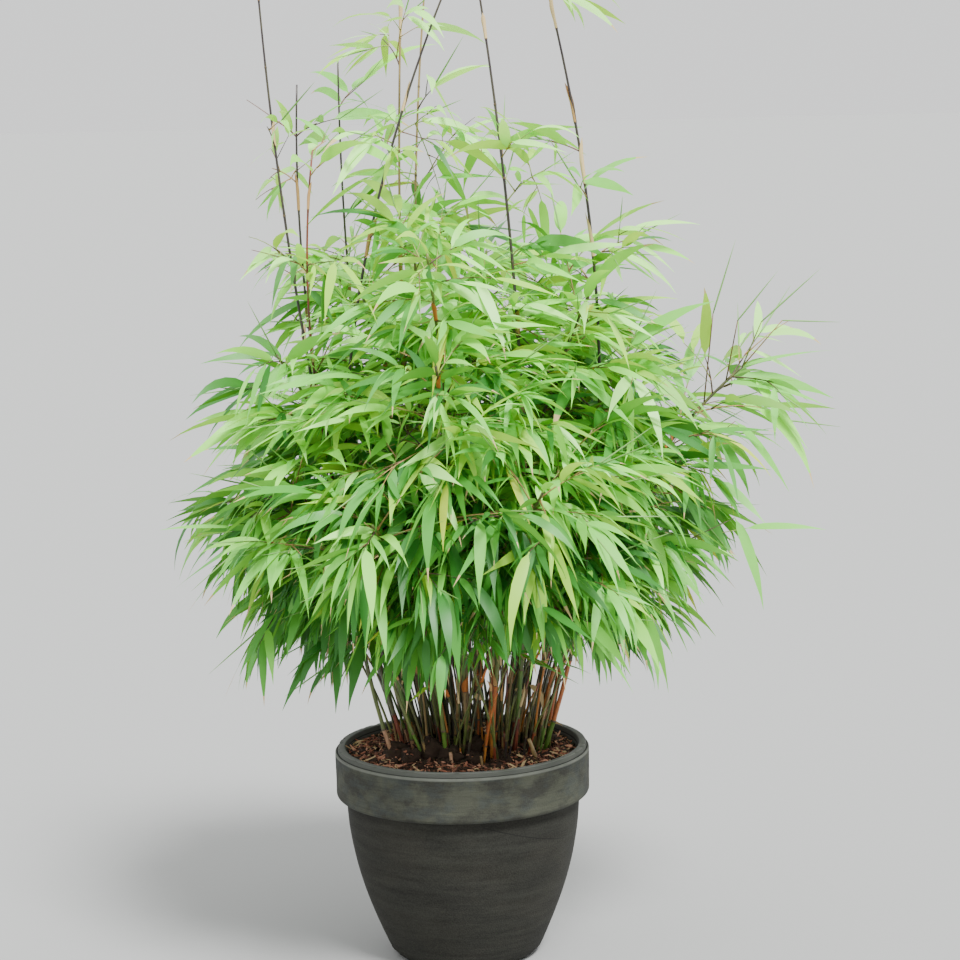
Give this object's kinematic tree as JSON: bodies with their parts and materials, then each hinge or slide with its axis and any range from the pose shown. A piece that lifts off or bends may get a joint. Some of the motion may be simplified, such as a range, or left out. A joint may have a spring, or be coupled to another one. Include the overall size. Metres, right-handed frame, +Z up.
{
  "type": "potted bamboo",
  "caption": "Clump of slender bamboo with a dense leafy crown and taller bare culms, growing in a round banded clay patio pot filled with bark mulch.",
  "frame": {"origin": "centre of the pot's flat underside", "axes": "+Z up out of the pot, along its axis; -Y towards the side seen in the picture; +X to that view's right"},
  "size_m": [0.7793, 0.6994, 1.1752],
  "materials": {
    "clay_pot": "weathered grey clay, matt, with a paler worn rim",
    "bark_mulch": "chipped reddish-brown bark over dark peat, matt",
    "culm": "smooth bamboo skin, dark purple-brown to olive and tan, low sheen",
    "foliage": "fresh green leaves, soft sheen"
  },
  "bodies": {
    "root": {"pot": "clay_pot", "soil": "bark_mulch", "tall_culm_1": "culm", "tall_culm_2": "culm", "tall_culm_3": "culm", "tall_culm_4": "culm", "tall_culm_5": "culm", "tall_culm_6": "culm", "tall_culm_7": "culm", "tall_culm_8": "culm", "tall_culm_9": "culm", "stem_01": "culm", "stem_02": "culm", "stem_03": "culm", "stem_04": "culm", "stem_05": "culm", "stem_06": "culm", "stem_07": "culm", "stem_08": "culm", "stem_09": "culm", "stem_10": "culm", "stem_11": "culm", "stem_12": "culm", "stem_13": "culm", "stem_14": "culm", "stem_15": "culm", "stem_16": "culm", "stem_17": "culm", "foliage_01": "foliage", "foliage_02": "foliage", "foliage_03": "foliage", "foliage_04": "foliage", "foliage_05": "foliage", "foliage_06": "foliage", "foliage_07": "foliage", "foliage_08": "foliage", "foliage_09": "foliage", "foliage_10": "foliage", "foliage_11": "foliage", "foliage_12": "foliage", "foliage_13": "foliage", "foliage_14": "foliage", "foliage_15": "foliage", "foliage_16": "foliage", "foliage_17": "foliage", "spray_1": "foliage", "spray_2": "foliage", "spray_3": "foliage", "spray_4": "foliage", "spray_5": "foliage", "spray_6": "foliage", "spray_7": "foliage", "spray_8": "foliage"}
  },
  "joints": []
}
